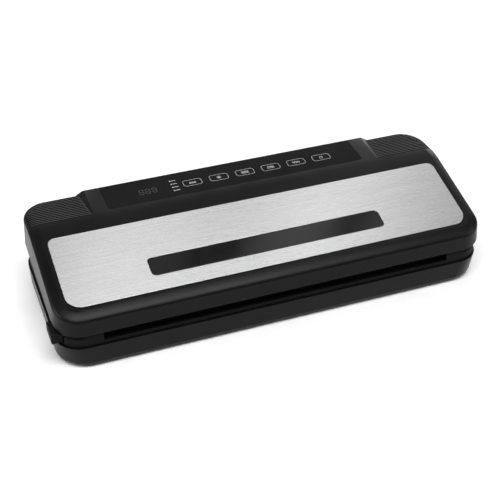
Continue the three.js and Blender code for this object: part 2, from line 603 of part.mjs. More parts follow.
// The raised block behind the ridge, with sloping ends.
function panelBlock() {
  const depth = 15;
  const foot = BLOCK.halfX + BLOCK.endSlope * depth;
  const section = [
    [RIDGE_Y, RIDGE_Z],
    [RIDGE_Y + 4, RIDGE_Z - 4],
    [REAR_Y - 6, RIDGE_Z - 12],
    [BLOCK.rearY - 0.4, RIDGE_Z - depth],
    [BLOCK.rearY, RIDGE_Z - BLOCK.round],
    [BLOCK.topRearY, RIDGE_Z],
  ];
  const ends = new THREE.Shape([
    new THREE.Vector2(-foot, RIDGE_Z - depth),
    new THREE.Vector2(foot, RIDGE_Z - depth),
    new THREE.Vector2(BLOCK.halfX, RIDGE_Z),
    new THREE.Vector2(-BLOCK.halfX, RIDGE_Z),
  ]);
  const wedge = solidOf(upright(ends, RIDGE_Y - 1, REAR_Y + 1));
  return geometryOf(solidOf(barAlongX(section, -foot, foot)).intersect(wedge));
}

function lidShell() {
  const hinges = [-HINGE_X, HINGE_X].map((x) =>
    box(x - HINGE_OPEN, x + HINGE_OPEN, HINGE_Y - 2, REAR_Y + 5, 30, HINGE_Z + 5.4),
  );
  return cut(
    join(lidSolid(0, 5, seamZ), panelBlock()),
    lidSolid(WALL, 3, (y) => seamZ(y) - 5),
    onPlate(prism(plateShape(GAP), -PLATE.thick - GAP, 8)),
    onPlate(prism(windowShape(GAP), -12, 8)),
    prism(panelShape(GAP), RIDGE_Z - PANEL.thick - GAP, 90),
    prism(roundedRect(-PANEL.halfX + 5, PANEL.halfX - 5, PANEL.y0 + 4, PANEL.y1 - 5, 2), 60, 90),
    ...hinges,
  );
}

function keyCap(x) {
  const cap = prism(around(x, KEYS.y, KEYS.sizeX, KEYS.sizeY, KEYS.r), RIDGE_Z - KEYS.thick, RIDGE_Z, 4);
  const stemLow = CONTROL_BOARD.z + CONTROL_BOARD.thick + 1;
  return join(cap, rodZ(1.6, x, KEYS.y, stemLow, RIDGE_Z - KEYS.thick + 0.5, 8));
}

const LIGHT_ROWS = Array.from(
  { length: LIGHTS.count },
  (_, i) => LIGHTS.y + (i - (LIGHTS.count - 1) / 2) * LIGHTS.pitch,
);

function controlPanel() {
  const holes = rowOf(KEYS).map((x) =>
    prism(around(x, KEYS.y, KEYS.sizeX + 2 * GAP, KEYS.sizeY + 2 * GAP, KEYS.r + GAP), 60, 90, 4),
  );
  for (const y of LIGHT_ROWS) {
    holes.push(prism(around(LIGHTS.x, y, LIGHTS.sizeX + 2 * GAP, LIGHTS.sizeY + 2 * GAP, 0.5), 60, 90, 1));
  }
  holes.push(prism(around(DISPLAY.x, DISPLAY.y, DISPLAY.sizeX + 2 * GAP, DISPLAY.sizeY + 2 * GAP,
    DISPLAY.r + GAP), 60, 90, 2));
  return cut(prism(panelShape(0), RIDGE_Z - PANEL.thick, RIDGE_Z), ...holes);
}

// The lid's underside: a flat liner with a groove for the gasket and one for the pressure strip.
function lidLiner() {
  const { inset, w0, w1 } = LINER;
  const half = HALF_LENGTH - inset;
  const plate = prism(
    roundedRect(-half, half, inset, REAR_Y - FRONT_Y - inset, CORNER_R - inset), w0, w1);
  const window = prism(roundedRect(-WINDOW.halfX + 2, WINDOW.halfX - 2, 33.6, 48, 3), 0, 20);
  const hingeHalf = HINGE_OPEN + 0.5;
  const hinges = [-HINGE_X, HINGE_X].map((x) => box(x - hingeHalf, x + hingeHalf, 142, 160, 0, 20));
  return cut(
    plate,
    window,
    frame(GASKET.halfX + GAP, GASKET.v0 - GAP, GASKET.v1 + GAP, GASKET.width + 2 * GAP,
      GASKET.r + GAP, w0 - 1, w0 + 2),
    box(-heatX - GAP, heatX + GAP, heatFront - GAP, heatBack + GAP, w0 - 1, w0 + 2),
    ...hinges,
  );
}

addPiece("lid_shell", lidShell(), BLACK);
addPiece("steel_plate", cut(prism(plateShape(0), -PLATE.thick, 0, 8),
  prism(windowShape(GAP), -5, 5)), STEEL, platePlane);
addPiece("viewing_window", prism(windowShape(0), -WINDOW.thick - 0.1, -0.1), GLOSS, platePlane);
addPiece("lid_liner", lidLiner(), BLACK, seamPlane);
const GROOVE_W = LINER.w0 + 1.7; // bottom of the liner's grooves
addPiece("upper_gasket", frame(GASKET.halfX, GASKET.v0, GASKET.v1, GASKET.width, GASKET.r, 1, GROOVE_W),
  RUBBER, seamPlane);
addPiece("pressure_strip", box(-heatX, heatX, heatFront, heatBack, -0.2, GROOVE_W), SILICONE, seamPlane);
addPiece("control_panel", controlPanel(), GLOSS);
addPiece("display_window", prism(around(DISPLAY.x, DISPLAY.y, DISPLAY.sizeX, DISPLAY.sizeY, DISPLAY.r),
  RIDGE_Z - DISPLAY.thick, RIDGE_Z, 2), GLOSS);
rowOf(KEYS).forEach((x, i) => addPiece(`key_${i + 1}`, keyCap(x), GLOSS));
LIGHT_ROWS.forEach((y, i) =>
  addPiece(`status_light_${i + 1}`, prism(around(LIGHTS.x, y, LIGHTS.sizeX, LIGHTS.sizeY, 0.3),
    RIDGE_Z - LIGHTS.thick, RIDGE_Z, 1), LABEL),
);
const { halfX: boardX, y0: boardY0, y1: boardY1, z: boardZ, thick: boardThick } = CONTROL_BOARD;
addPiece("control_board", box(-boardX, boardX, boardY0, boardY1, boardZ, boardZ + boardThick), BOARD);

export default part;
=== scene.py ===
"""Looks for the countertop vacuum sealer: shells, steel plate, window, control panel and sealing deck.

Shapes are written in millimetres in the row's frame and turned into metres as each mesh is made.
"""
import json
import math

import bmesh
import bpy
from mathutils import Matrix, Vector


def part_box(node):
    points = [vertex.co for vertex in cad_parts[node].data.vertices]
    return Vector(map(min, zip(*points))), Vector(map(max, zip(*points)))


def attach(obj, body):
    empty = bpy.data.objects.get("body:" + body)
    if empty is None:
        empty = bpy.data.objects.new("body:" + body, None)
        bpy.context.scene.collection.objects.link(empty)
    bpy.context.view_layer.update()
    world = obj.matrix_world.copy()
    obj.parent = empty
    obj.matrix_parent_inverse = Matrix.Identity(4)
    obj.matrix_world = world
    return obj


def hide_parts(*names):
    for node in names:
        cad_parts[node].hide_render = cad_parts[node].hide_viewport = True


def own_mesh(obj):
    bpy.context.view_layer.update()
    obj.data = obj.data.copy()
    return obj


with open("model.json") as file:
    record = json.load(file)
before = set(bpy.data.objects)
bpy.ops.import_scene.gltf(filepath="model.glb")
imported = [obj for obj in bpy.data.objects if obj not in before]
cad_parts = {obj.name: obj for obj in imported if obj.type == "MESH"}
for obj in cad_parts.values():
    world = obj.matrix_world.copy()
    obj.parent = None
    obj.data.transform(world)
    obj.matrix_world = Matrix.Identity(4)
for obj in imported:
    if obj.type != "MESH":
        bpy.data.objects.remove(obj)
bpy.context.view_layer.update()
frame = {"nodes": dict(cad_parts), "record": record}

MM = 0.001
NODES = frame["nodes"]


def box_mm(node):
    """A CAD node's lowest and highest corners, in millimetres."""
    low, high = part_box(node)
    return Vector(low) / MM, Vector(high) / MM


# ------------------------------------------------------------------ driving sizes, in millimetres
LID_LOW, LID_HIGH = box_mm("lid_shell")
HALF = LID_HIGH.x  # half the lid's length
FRONT = LID_LOW.y
REAR = LID_HIGH.y
SEAM_FRONT_Z = LID_LOW.z
RIDGE_Z = LID_HIGH.z
WALL = 2.6  # thickness of the lid's shell
CORNER_R = 24  # the body's corners, seen from above
CORNER_STEPS = 14
LID_EDGE = 0.5  # rounding of the lid's bottom edge

SEAM_SLOPE = 0.069  # the lid's bottom edge rises towards the back
PLATE_Y, PLATE_Z = -23.4, 64.9  # the plate's centre
PLATE_TILT = math.radians(12)
BLEND_Y, RIDGE_Y = 19.6, 35.2  # the sloping top levels off between these
WING_REAR_Z = 73  # height of the wings at the back
FLARE = 1.3  # how far the lid's side leans in below the shoulder
SHOULDER_WIDTH, SHOULDER_DROP = 9, 4.6  # the round between the side and the top
SHOULDER_REAR_WIDTH, SHOULDER_REAR_DROP = 3, 2
SHOULDER_ARC = math.radians(45)

PLATE = {"x": 185.3, "y": 39.7, "front_r": 14, "rear_r": 7, "thick": 0.6}
WINDOW = {"x": 108.5, "y0": -23.6, "y1": -3.8, "r": 4, "thick": 2.4}
PANEL_LOW, PANEL_HIGH = box_mm("control_panel")
PANEL_R = 3
GAP = 0.3  # clearance round an inset piece

BLOCK_X, BLOCK_SLOPE = 138, 1.7  # half length of the raised block, and how far its ends slope out
BLOCK_REAR, BLOCK_TOP_REAR, BLOCK_ROUND = 74.5, 73.5, 1.2
BLOCK_DEPTH = 15  # how far the block reaches down into the lid, where it is cut off flush
WELL = {"x": 118.8, "front": 4, "rear": 5, "r": 2}  # opening under the panel: half length, insets

RIB_PITCH, RIB_START, RIB_STEP = 2.84, 2.0, 0.8
RIB_WIDTH, RIB_HEIGHT = 1.8, 0.75
RIB_GAP, RIB_SIDE_MARGIN, RIB_REAR_MARGIN = 1.2, 2, 1.6  # from the block, the side and the back
RECESS_FADE = 0.25  # share of the shoulder over which the ribs' recess reaches its depth
CREST = (0.82, 0.97)  # a rib's surface turns from flank to crest as its normal rises through these

PLATE_FRAME = Matrix.Translation((0, PLATE_Y, PLATE_Z)) @ Matrix.Rotation(PLATE_TILT, 4, "X")
LEVEL = Matrix.Identity(4)


# ------------------------------------------------------------------ materials
def new_material(name):
    material = bpy.data.materials.new(name)
    material.use_nodes = True
    return material, material.node_tree.nodes, material.node_tree.links


def scaled_coordinates(nodes, links, stretch=(1, 1, 1)):
    """The row frame's own coordinates, in metres, stretched along each axis."""
    place = nodes.new("ShaderNodeTexCoord")
    mapping = nodes.new("ShaderNodeMapping")
    mapping.inputs["Scale"].default_value = stretch
    links.new(place.outputs["Object"], mapping.inputs["Vector"])
    return mapping.outputs["Vector"]


def noise(nodes, links, vector, scale, detail=3.0, roughness=0.5):
    texture = nodes.new("ShaderNodeTexNoise")
    texture.inputs["Scale"].default_value = scale
    texture.inputs["Detail"].default_value = detail
    texture.inputs["Roughness"].default_value = roughness
    links.new(vector, texture.inputs["Vector"])
    return texture.outputs["Fac"]


def spread(nodes, links, value, low, high, inside=(0.3, 0.7)):
    """Maps the middle of a noise to the span from low to high."""
    remap = nodes.new("ShaderNodeMapRange")
    remap.inputs["From Min"].default_value = inside[0]
    remap.inputs["From Max"].default_value = inside[1]
    remap.inputs["To Min"].default_value = low
    remap.inputs["To Max"].default_value = high
    links.new(value, remap.inputs["Value"])
    return remap.outputs["Result"]


def tint(nodes, links, value, dark, light):
    ramp = nodes.new("ShaderNodeValToRGB")
    ramp.color_ramp.elements[0].position = 0.3
    ramp.color_ramp.elements[0].color = (*dark, 1)
    ramp.color_ramp.elements[1].position = 0.7
    ramp.color_ramp.elements[1].color = (*light, 1)
    links.new(value, ramp.inputs["Fac"])
    return ramp.outputs["Color"]


def relief(nodes, links, value, depth_mm):
    bump = nodes.new("ShaderNodeBump")
    bump.inputs["Strength"].default_value = 1
    bump.inputs["Distance"].default_value = depth_mm * MM
    links.new(value, bump.inputs["Height"])
    return bump.outputs["Normal"]


def dress(links, shader, colour, rough, normal):
    """Gives the shader its varying colour, roughness and fine relief."""
    links.new(colour, shader.inputs["Base Color"])
    links.new(rough, shader.inputs["Roughness"])
    links.new(normal, shader.inputs["Normal"])


def finish(
    name,
    dark,
    light,
    rough,
    metallic=0.0,
    grain_mm=0.4,
    depth_mm=0.02,
    patch_mm=30.0,
    stretch=(1, 1, 1),
    specular=0.5,
):
    """A surface whose colour, roughness and fine relief all vary: rough is its lowest and highest value."""
    material, nodes, links = new_material(name)
    shader = nodes["Principled BSDF"]
    wide = scaled_coordinates(nodes, links)
    fine = scaled_coordinates(nodes, links, stretch)
    patches = noise(nodes, links, wide, 1 / (patch_mm * MM))
    grain = noise(nodes, links, fine, 1 / (grain_mm * MM), detail=4.0)
    dress(
        links,
        shader,
        tint(nodes, links, patches, dark, light),
        spread(nodes, links, patches, *rough),
        relief(nodes, links, grain, depth_mm),
    )
    shader.inputs["Metallic"].default_value = metallic
    shader.inputs["Specular IOR Level"].default_value = specular
    return material


def brushed_steel():
    """Steel brushed along X, so it spreads what it mirrors across the brushing.

    The lid's hinge is along X too, so the brushing stays along X as the lid turns.
    """
    material, nodes, links = new_material("brushed_steel")
    shader = nodes["Principled BSDF"]
    fine = scaled_coordinates(nodes, links, (0.01, 1, 1))
    hair = noise(nodes, links, fine, 3200, detail=3.0, roughness=0.7)
    streak = noise(nodes, links, fine, 1200, detail=4.0, roughness=0.65)
    brushing = nodes.new("ShaderNodeCombineXYZ")
    brushing.inputs["X"].default_value = 1.0
    dress(
        links,
        shader,
        tint(nodes, links, streak, (0.56, 0.56, 0.565), (0.65, 0.65, 0.655)),
        spread(nodes, links, hair, 0.25, 0.3),
        relief(nodes, links, streak, 0.001),
    )
    links.new(brushing.outputs["Vector"], shader.inputs["Tangent"])
    shader.inputs["Metallic"].default_value = 1.0
    shader.inputs["Anisotropic"].default_value = 0.9
    shader.inputs["Anisotropic Rotation"].default_value = 0.25
    return material


def moulded_ribs():
    """Black ribs: lighter and smoother along their crests, dark and rough down their flanks; the lighter
    crest colour is a painted highlight where the rib's normal faces up.
    """
    material, nodes, links = new_material("rib_black")
    shader = nodes["Principled BSDF"]
    place = nodes.new("ShaderNodeTexCoord")
    parts = nodes.new("ShaderNodeSeparateXYZ")
    links.new(place.outputs["Normal"], parts.inputs["Vector"])
    upward = parts.outputs["Z"]
    grain = noise(nodes, links, place.outputs["Object"], 2200)
    patches = noise(nodes, links, place.outputs["Object"], 60)
    # painted highlight: the colour lightens where the normal faces up, scaled by a random tone; the same
    # share also makes the crests smoother
    crest_highlight_node = nodes.new("ShaderNodeMath")
    crest_highlight_node.operation = "MULTIPLY"
    links.new(spread(nodes, links, upward, 0, 1, CREST), crest_highlight_node.inputs[0])
    links.new(spread(nodes, links, patches, 0.75, 1), crest_highlight_node.inputs[1])
    crest_highlight_and_gloss = crest_highlight_node.outputs["Value"]
    dress(
        links,
        shader,
        # painted crest highlight in the base colour, painted shade down the flanks
        tint(nodes, links, crest_highlight_and_gloss, (0.0015, 0.0015, 0.0016), (0.045, 0.045, 0.0464)),
        spread(nodes, links, crest_highlight_and_gloss, 0.65, 0.3, (0, 1)),
        relief(nodes, links, grain, 0.01),
    )
    shader.inputs["Specular IOR Level"].default_value = 0.12
    return material


def woven_tape():
    """Brown glass cloth with a slippery coating: two crossed sets of threads."""
    material, nodes, links = new_material("woven_tape")
    shader = nodes["Principled BSDF"]
    place = scaled_coordinates(nodes, links)
    threads = []
    for axis in ("X", "Y"):
        wave = nodes.new("ShaderNodeTexWave")
        wave.bands_direction = axis
        wave.inputs["Scale"].default_value = 520
        links.new(place, wave.inputs["Vector"])
        threads.append(wave.outputs["Fac"])
    weave = nodes.new("ShaderNodeMath")
    weave.operation = "MULTIPLY"
    links.new(threads[0], weave.inputs[0])
    links.new(threads[1], weave.inputs[1])
    patches = noise(nodes, links, place, 60)
    dress(
        links,
        shader,
        tint(nodes, links, patches, (0.19, 0.125, 0.07), (0.28, 0.19, 0.11)),
        spread(nodes, links, patches, 0.35, 0.55),
        relief(nodes, links, weave.outputs["Value"], 0.06),
    )
    return material


def foam():
    """Closed-cell foam rubber: small open pits in a matt skin."""
    material, nodes, links = new_material("foam_black")
    shader = nodes["Principled BSDF"]
    place = scaled_coordinates(nodes, links)
    cells = nodes.new("ShaderNodeTexVoronoi")
    cells.inputs["Scale"].default_value = 1500
    links.new(place, cells.inputs["Vector"])
    patches = noise(nodes, links, place, 90)
    dress(
        links,
        shader,
        tint(nodes, links, patches, (0.011, 0.011, 0.012), (0.024, 0.024, 0.025)),
        spread(nodes, links, patches, 0.8, 0.95),
        relief(nodes, links, cells.outputs["Distance"], 0.15),
    )
    return material


def circuit_board():
    """Green solder mask over a pattern of copper tracks."""
    material, nodes, links = new_material("circuit_board")
    shader = nodes["Principled BSDF"]
    place = scaled_coordinates(nodes, links)
    tracks = nodes.new("ShaderNodeTexBrick")
    tracks.inputs["Scale"].default_value = 90
    tracks.inputs["Mortar Size"].default_value = 0.035
    tracks.inputs["Color1"].default_value = (0.01, 0.085, 0.03, 1)
    tracks.inputs["Color2"].default_value = (0.014, 0.11, 0.04, 1)
    tracks.inputs["Mortar"].default_value = (0.05, 0.2, 0.07, 1)
    links.new(place, tracks.inputs["Vector"])
    patches = noise(nodes, links, place, 300)
    dress(
        links,
        shader,
        tracks.outputs["Color"],
        spread(nodes, links, patches, 0.3, 0.45),
        relief(nodes, links, tracks.outputs["Fac"], 0.04),
    )
    return material


FINISHES = {
    "body_black": finish(
        "moulded_black", (0.0034, 0.0034, 0.0037), (0.0044, 0.0044, 0.0047), (0.3, 0.37),
        grain_mm=0.5, depth_mm=0.012, specular=0.13,
    ),
    "textured_black": finish(
        "textured_black", (0.0034, 0.0034, 0.0036), (0.0044, 0.0044, 0.0047), (0.5, 0.6),
        grain_mm=0.6, depth_mm=0.03, specular=0.09,
    ),
    "gloss_black": finish(
        "gloss_overlay", (0.0056, 0.0056, 0.006), (0.0066, 0.0066, 0.007), (0.1, 0.14),
        grain_mm=1.5, depth_mm=0.002, specular=0.26,
    ),
    "window_smoke": finish(
        "smoked_window", (0.004, 0.004, 0.0045), (0.006, 0.006, 0.0065), (0.1, 0.15),
        grain_mm=4, depth_mm=0.002, specular=0.24,
    ),
    "rubber_black": finish(
        "rubber", (0.0026, 0.0026, 0.0028), (0.0045, 0.0045, 0.0048), (0.55, 0.7),
        grain_mm=0.35, depth_mm=0.03, specular=0.12,
    ),
    "silicone_grey": finish(
        "silicone", (0.23, 0.235, 0.24), (0.3, 0.305, 0.31), (0.55, 0.7),
        grain_mm=0.6, depth_mm=0.015,
    ),
    "zinc": finish(
        "zinc_plate", (0.36, 0.36, 0.375), (0.5, 0.5, 0.51), (0.26, 0.4),
        metallic=1.0, grain_mm=0.3, depth_mm=0.006, patch_mm=6,
    ),
    "heater_wire": finish(
        "rolled_strip", (0.36, 0.35, 0.33), (0.5, 0.48, 0.45), (0.25, 0.35),
        metallic=1.0, grain_mm=0.2, stretch=(0.03, 1, 1),
    ),
    "resin": finish(
        "heat_resin", (0.04, 0.028, 0.02), (0.065, 0.046, 0.034), (0.5, 0.65),
        grain_mm=0.5, depth_mm=0.03,
    ),
    "light_grey": finish(
        "light_grey", (0.48, 0.49, 0.5), (0.56, 0.57, 0.58), (0.4, 0.5),
        grain_mm=0.4, depth_mm=0.006,
    ),
    "unlit_segment": finish(
        "unlit_segment", (0.016, 0.016, 0.017), (0.02, 0.02, 0.021), (0.3, 0.4),
        grain_mm=1, depth_mm=0.002,
    ),
    "rib_black": moulded_ribs(),
    "steel": brushed_steel(),
    "tape": woven_tape(),
    "foam_black": foam(),
    "board_green": circuit_board(),
}
SLOT_OF = {row["node"]: row["material_slot"] for row in frame["record"]["subparts"]}
BODY_OF = {node: body for body, members in frame["record"]["behaviour"]["bodies"].items() for node in members}


# ------------------------------------------------------------------ making pieces
def show(obj, node, name=None, slot=None, replaces=True, smooth=35, look=None):
    """Gives a new object its name, finish and body, and hides the CAD node it stands for when it replaces it.
    """
    obj.name = name or f"{node}_piece"
    chosen = slot or SLOT_OF[node]
    obj.data.materials.clear()
    obj.data.materials.append(FINISHES[look or chosen])
    for face in obj.data.polygons:
        face.use_smooth = True
    obj.data.set_sharp_from_angle(angle=math.radians(smooth))
    tool = obj.modifiers.new("weighted", "WEIGHTED_NORMAL")
    tool.keep_sharp = True
    tool.weight = 90
    applied(obj)
    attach(obj, BODY_OF[node])
    if replaces:
        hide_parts(node)
    return obj


def object_from(mesh, name="piece"):
    obj = bpy.data.objects.new(name, mesh)
    bpy.context.scene.collection.objects.link(obj)
    return obj


def mesh_object(points, faces, place=LEVEL):
    """An object from points in millimetres."""
    mesh = bpy.data.meshes.new("shape")
    mesh.from_pydata([(place @ Vector(point)) * MM for point in points], [], faces)
    bm = bmesh.new()
    bm.from_mesh(mesh)
    bmesh.ops.recalc_face_normals(bm, faces=bm.faces)
    bm.to_mesh(mesh)
    bm.free()
    return object_from(mesh)


def applied(obj):
    """Bakes the object's modifiers into its mesh."""
    depsgraph = bpy.context.evaluated_depsgraph_get()
    mesh = bpy.data.meshes.new_from_object(obj.evaluated_get(depsgraph))
    obj.modifiers.clear()
    obj.data = mesh
    return obj


def carve(obj, cutter, operation="DIFFERENCE"):
    """Cuts with, or joins, another object, which is used up."""
    tool = obj.modifiers.new("carve", "BOOLEAN")
    tool.operation = operation
    tool.solver = "EXACT"
    tool.object = cutter
    applied(obj)
    bpy.data.objects.remove(cutter)


def soften(obj, width_mm, angle):
    """Rounds every edge sharper than the angle, in degrees."""
    tool = obj.modifiers.new("soften", "BEVEL")
    tool.width = width_mm * MM
    tool.segments = 2
    tool.limit_method = "ANGLE"
    tool.angle_limit = math.radians(angle)
    tool.use_clamp_overlap = True
    return applied(obj)


def cleaned_copy(node):
    """A copy of a CAD node's mesh, with its triangles joined back into flat faces."""
    mesh = NODES[node].data.copy()
    bm = bmesh.new()
    bm.from_mesh(mesh)
    bmesh.ops.remove_doubles(bm, verts=bm.verts, dist=1e-6)
    bmesh.ops.dissolve_limit(bm, angle_limit=math.radians(0.6), verts=bm.verts, edges=bm.edges)
    bm.to_mesh(mesh)
    bm.free()
    copy = object_from(mesh)
    copy.matrix_world = NODES[node].matrix_world.copy()
    return copy


def refined(node, angle=40, smooth=35, look=None):
    """The CAD node's own shape, with its moulded or pressed edges rounded."""
    show(soften(cleaned_copy(node), 0.3, angle), node, smooth=smooth, look=look)


def arc(centre_x, centre_y, rx, ry, start, steps):
    angles = (start + math.pi / 2 * i / steps for i in range(steps + 1))
    return [(centre_x + rx * math.cos(a), centre_y + ry * math.sin(a)) for a in angles]


def rounded(x0, x1, y0, y1, front_r, rear_r=None, steps=8):
    """A rounded rectangle, anticlockwise from its front right corner."""
    rear_r = front_r if rear_r is None else rear_r
    return [
        *arc(x1 - front_r, y0 + front_r, front_r, front_r, -math.pi / 2, steps),
        *arc(x1 - rear_r, y1 - rear_r, rear_r, rear_r, 0, steps),
        *arc(x0 + rear_r, y1 - rear_r, rear_r, rear_r, math.pi / 2, steps),
        *arc(x0 + front_r, y0 + front_r, front_r, front_r, math.pi, steps),
    ]


def tube(first, count, steps):
    """Quads between a stack of rings, each of count points, of which the lowest starts at first."""
    faces = []
    for low in range(first, first + count * steps, count):
        for i in range(count):
            after = (i + 1) % count
            faces.append((low + i, low + after, low + count + after, low + count + i))
    return faces


def slab(loops, low, high, edge, place=LEVEL, edge_steps=3):
    """A flat piece between two heights, with holes, and all its edges rounded."""
    curve = bpy.data.curves.new("outline", "CURVE")
    curve.dimensions = "2D"
    curve.fill_mode = "BOTH"
    curve.extrude = (high - low) / 2 - edge
    curve.bevel_depth = edge
    curve.bevel_resolution = edge_steps
    curve.offset = -edge
    for loop in loops:
        spline = curve.splines.new("POLY")
        spline.points.add(len(loop) - 1)
        for point, (x, y) in zip(spline.points, loop):
            point.co = (x, y, 0, 1)
        spline.use_cyclic_u = True
    holder = object_from(curve)
    depsgraph = bpy.context.evaluated_depsgraph_get()
    mesh = bpy.data.meshes.new_from_object(holder.evaluated_get(depsgraph))
    bpy.data.objects.remove(holder)
    mesh.transform(Matrix.Scale(MM, 4) @ place @ Matrix.Translation((0, 0, (low + high) / 2)))
    bm = bmesh.new()
    bm.from_mesh(mesh)
    bmesh.ops.remove_doubles(bm, verts=bm.verts, dist=1e-7)
    bmesh.ops.recalc_face_normals(bm, faces=bm.faces)
    bm.to_mesh(mesh)
    bm.free()
    return object_from(mesh)


def cuboid(x0, x1, y0, y1, z0, z1):
    points = [(x, y, z) for z in (z0, z1) for y in (y0, y1) for x in (x0, x1)]
    faces = [(0, 2, 3, 1), (4, 5, 7, 6), (0, 1, 5, 4), (2, 6, 7, 3), (0, 4, 6, 2), (1, 3, 7, 5)]
    return mesh_object(points, faces)


def prism(loop, z0, z1, place=LEVEL):
    """A closed straight-sided solid over an outline, for cutting with."""
    count = len(loop)
    points = [(x, y, z) for z in (z0, z1) for x, y in loop]
    ends = [tuple(range(count))[::-1], tuple(range(count, 2 * count))]
    return mesh_object(points, [*ends, *tube(0, count, 1)], place)


# ------------------------------------------------------------------ outlines of the inset pieces
def plate_outline(grow=0.0):
    x, y = PLATE["x"] + grow, PLATE["y"] + grow
    return rounded(-x, x, -y, y, PLATE["front_r"] + grow, PLATE["rear_r"] + grow, 12)


def window_outline(grow=0.0):
    x = WINDOW["x"] + grow
    return rounded(-x, x, WINDOW["y0"] - grow, WINDOW["y1"] + grow, WINDOW["r"] + grow)


def panel_outline(grow=0.0):
    x0, x1 = PANEL_LOW.x - grow, PANEL_HIGH.x + grow
    return rounded(x0, x1, PANEL_LOW.y - grow, PANEL_HIGH.y + grow, PANEL_R + grow)


def node_outline(node, r, grow=0.0, steps=6):
    low, high = box_mm(node)
    return rounded(low.x - grow, high.x + grow, low.y - grow, high.y + grow, r, steps=steps)


# ------------------------------------------------------------------ the lid's surface
def seam_z(y):
    return SEAM_FRONT_Z + SEAM_SLOPE * (y - FRONT)


def top_z(y):
    """Height of the lid's top: a slope, a short round onto the level, then the falling wings."""
    slope = math.tan(PLATE_TILT)
    blend_z = PLATE_Z + (BLEND_Y - PLATE_Y) * slope
    ridge_z = blend_z + slope * (RIDGE_Y - BLEND_Y) / 2
    if y <= BLEND_Y:
        return PLATE_Z + (y - PLATE_Y) * slope
    if y >= RIDGE_Y:
        return ridge_z + (WING_REAR_Z - ridge_z) * (y - RIDGE_Y) / (REAR - RIDGE_Y)
    left = (RIDGE_Y - y) / (RIDGE_Y - BLEND_Y)
    return ridge_z - (ridge_z - blend_z) * left * left


def cover_z(y):
    """The top without its ribs: the wings lie lower by the ribs' height."""
    return top_z(y) - RIB_HEIGHT * min(max(y - RIDGE_Y, 0), 1)


def drop_share(y):
    """How much of the shoulder's drop is left towards the back."""
    t = min(max((y - (REAR - CORNER_R)) / CORNER_R, 0), 1)
    back = t * t * (3 - 2 * t)
    return 1 + (SHOULDER_REAR_DROP / SHOULDER_DROP - 1) * back


def ring(inset, height_at, rear_inset=None):
    """One closed ring round the body: right side front to back, then left side back to front."""
    rear_inset = inset if rear_inset is None else rear_inset
    across = CORNER_R - inset
    centre = HALF - CORNER_R
    levels = [BLEND_Y + (RIDGE_Y - BLEND_Y) * i / 8 for i in range(9)] + [RIDGE_Y + 1]
    right = [
        *arc(centre, FRONT + CORNER_R, across, across, -math.pi / 2, CORNER_STEPS),
        *[(HALF - inset, y) for y in levels],
        *arc(centre, REAR - CORNER_R, across, CORNER_R - rear_inset, 0, CORNER_STEPS),
    ]
    points = [(x, y, height_at(y)) for x, y in right]
    return points + [(-x, y, z) for x, y, z in reversed(points)]


def loft(rings):
    """A closed solid through a stack of rings, with strips across its bottom and its top."""
    count = len(rings[0])
    faces = tube(0, count, len(rings) - 1)
    top = (len(rings) - 1) * count
    for i in range(count // 2 - 1):
        far = count - 1 - i
        faces.append((top + i, top + i + 1, top + far - 1, top + far))
        faces.append((i, far, far - 1, i + 1))
    return mesh_object([point for row in rings for point in row], faces)


def shoulder_rise(share):
    """How far up the shoulder's drop a point is, at this share of the way in from the side."""
    angle = math.acos(1 - share * (1 - math.cos(SHOULDER_ARC)))
    return math.sin(angle) / math.sin(SHOULDER_ARC)


def lid_solid(wall, steps, bottom_rings, top=top_z):
    """The lid's form, set in by a wall: the given rings, then the shoulder's, up to the top."""
    rings = list(bottom_rings)
    for i in range(steps + 1):
        angle = SHOULDER_ARC * i / steps
        share = (1 - math.cos(angle)) / (1 - math.cos(SHOULDER_ARC))
        drop = SHOULDER_DROP * (1 - shoulder_rise(share))
        inset = FLARE + wall + SHOULDER_WIDTH * share
        rear_inset = FLARE + wall + SHOULDER_REAR_WIDTH * share
        sunk = min(share / RECESS_FADE, 1)  # the outermost edge keeps its full height
        rings.append(
            ring(
                inset,
                lambda y: top_z(y) + (top(y) - top_z(y)) * sunk - drop * drop_share(y) - wall,
                rear_inset,
            )
        )
    return loft(rings)


def surface_z(x, y):
    """Height of the lid's outside at a point, found from how far in it lies from the outline."""
    dx = abs(x) - (HALF - CORNER_R)
    dy = y - (REAR - CORNER_R)
    low, high = 0.0, 1.0
    for _ in range(24):
        share = (low + high) / 2
        rx = CORNER_R - FLARE - SHOULDER_WIDTH * share
        ry = CORNER_R - FLARE - SHOULDER_REAR_WIDTH * share
        outside = max(dx, 0) ** 2 / rx**2 + max(dy, 0) ** 2 / ry**2 > 1
        low, high = (low, share) if outside else (share, high)
    drop = SHOULDER_DROP * drop_share(y) * (1 - shoulder_rise(low))
    return top_z(y) - drop


# ------------------------------------------------------------------ lid
def hinge_gaps():
    """Boxes over the two hinges, where the lid's shell stands clear of them."""
    clear_x, clear_y, clear_z, below = 1, 2, 5.4, 30
    pin_low, pin_high = box_mm("hinge_pin_left")
    pin_y, pin_z = (pin_low.y + pin_high.y) / 2, (pin_low.z + pin_high.z) / 2
    boxes = []
    for side in ("left", "right"):
        low, high = box_mm(f"hinge_bracket_lid_{side}")
        boxes.append((low.x - clear_x, high.x + clear_x, pin_y - clear_y, REAR + 5, below, pin_z + clear_z))
    return boxes


def panel_block():
    """The raised block that carries the control panel, in section from its front edge round to the top."""
    section = [
        (RIDGE_Y, RIDGE_Z),
        (RIDGE_Y + 4, RIDGE_Z - 4),
        (REAR - 6, RIDGE_Z - 12),
        (BLOCK_REAR - 0.4, RIDGE_Z - BLOCK_DEPTH),
        (BLOCK_REAR, RIDGE_Z - BLOCK_ROUND),
        (BLOCK_REAR - 0.3, RIDGE_Z - 0.35),
        (BLOCK_TOP_REAR, RIDGE_Z),
    ]
    points = []
    for side in (-1, 1):
        points += [(side * (BLOCK_X + BLOCK_SLOPE * (RIDGE_Z - z)), y, z) for y, z in section]
    count = len(section)
    ends = [tuple(range(count)), tuple(range(count, 2 * count))[::-1]]
    return mesh_object(points, [*ends, *tube(0, count, 1)])


